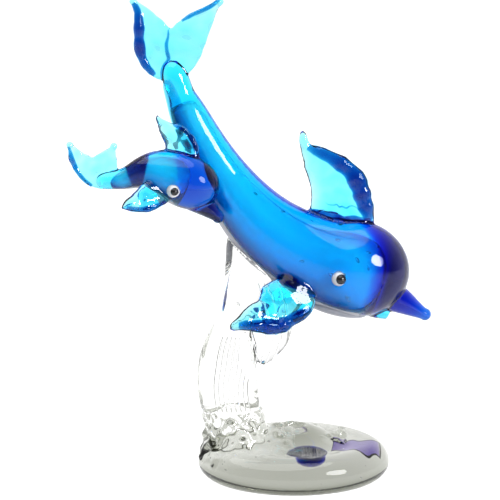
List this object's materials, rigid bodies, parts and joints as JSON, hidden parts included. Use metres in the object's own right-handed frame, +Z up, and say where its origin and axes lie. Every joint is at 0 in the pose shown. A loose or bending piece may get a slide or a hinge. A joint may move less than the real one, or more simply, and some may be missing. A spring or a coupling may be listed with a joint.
{
  "type": "glass dolphin figurine",
  "caption": "Hot-worked glass figurine of a mother dolphin and her calf in blue glass, carried by a clear glass wave on an oval foot.",
  "frame": {"origin": "middle of the flat underside of the oval foot", "axes": "+Z up; +X the way both dolphins swim; -Y the dolphins' right flanks, the side seen from the front"},
  "size_m": [0.1327, 0.058, 0.1788],
  "materials": {
    "azure_glass": "clear azure blue glass with small seed bubbles",
    "pale_fin_glass": "thin transparent cyan glass, fire-polished",
    "cobalt_glass": "deep cobalt blue glass",
    "violet_glass": "transparent violet glass",
    "white_glass": "opaque white glass",
    "black_glass": "opaque black glass",
    "clear_glass": "clear colourless glass"
  },
  "bodies": {
    "root": {"mother_body": "azure_glass", "mother_lining": "white_glass", "mother_belly": "white_glass", "mother_melon": "cobalt_glass", "mother_upper_beak": "cobalt_glass", "mother_lower_jaw": "azure_glass", "mother_dorsal_fin": "pale_fin_glass", "mother_right_pectoral_fin": "pale_fin_glass", "mother_left_pectoral_fin": "pale_fin_glass", "mother_left_fluke": "pale_fin_glass", "mother_right_fluke": "pale_fin_glass", "mother_eye_whites": "white_glass", "mother_pupils": "black_glass", "calf_body": "azure_glass", "calf_dark_band": "violet_glass", "calf_tail_stem": "pale_fin_glass", "calf_lining": "white_glass", "calf_belly": "white_glass", "calf_melon": "cobalt_glass", "calf_beak": "cobalt_glass", "calf_dorsal_fin": "pale_fin_glass", "calf_right_pectoral_fin": "pale_fin_glass", "calf_left_pectoral_fin": "pale_fin_glass", "calf_left_fluke": "pale_fin_glass", "calf_right_fluke": "pale_fin_glass", "calf_eye_whites": "white_glass", "calf_pupils": "black_glass", "foot": "clear_glass", "foot_lumps": "clear_glass", "foot_cobalt_lens": "cobalt_glass", "foot_violet_streak": "violet_glass", "wave_root": "clear_glass", "wave_column": "clear_glass", "wave_neck": "clear_glass", "wave_crest": "clear_glass"}
  },
  "joints": []
}
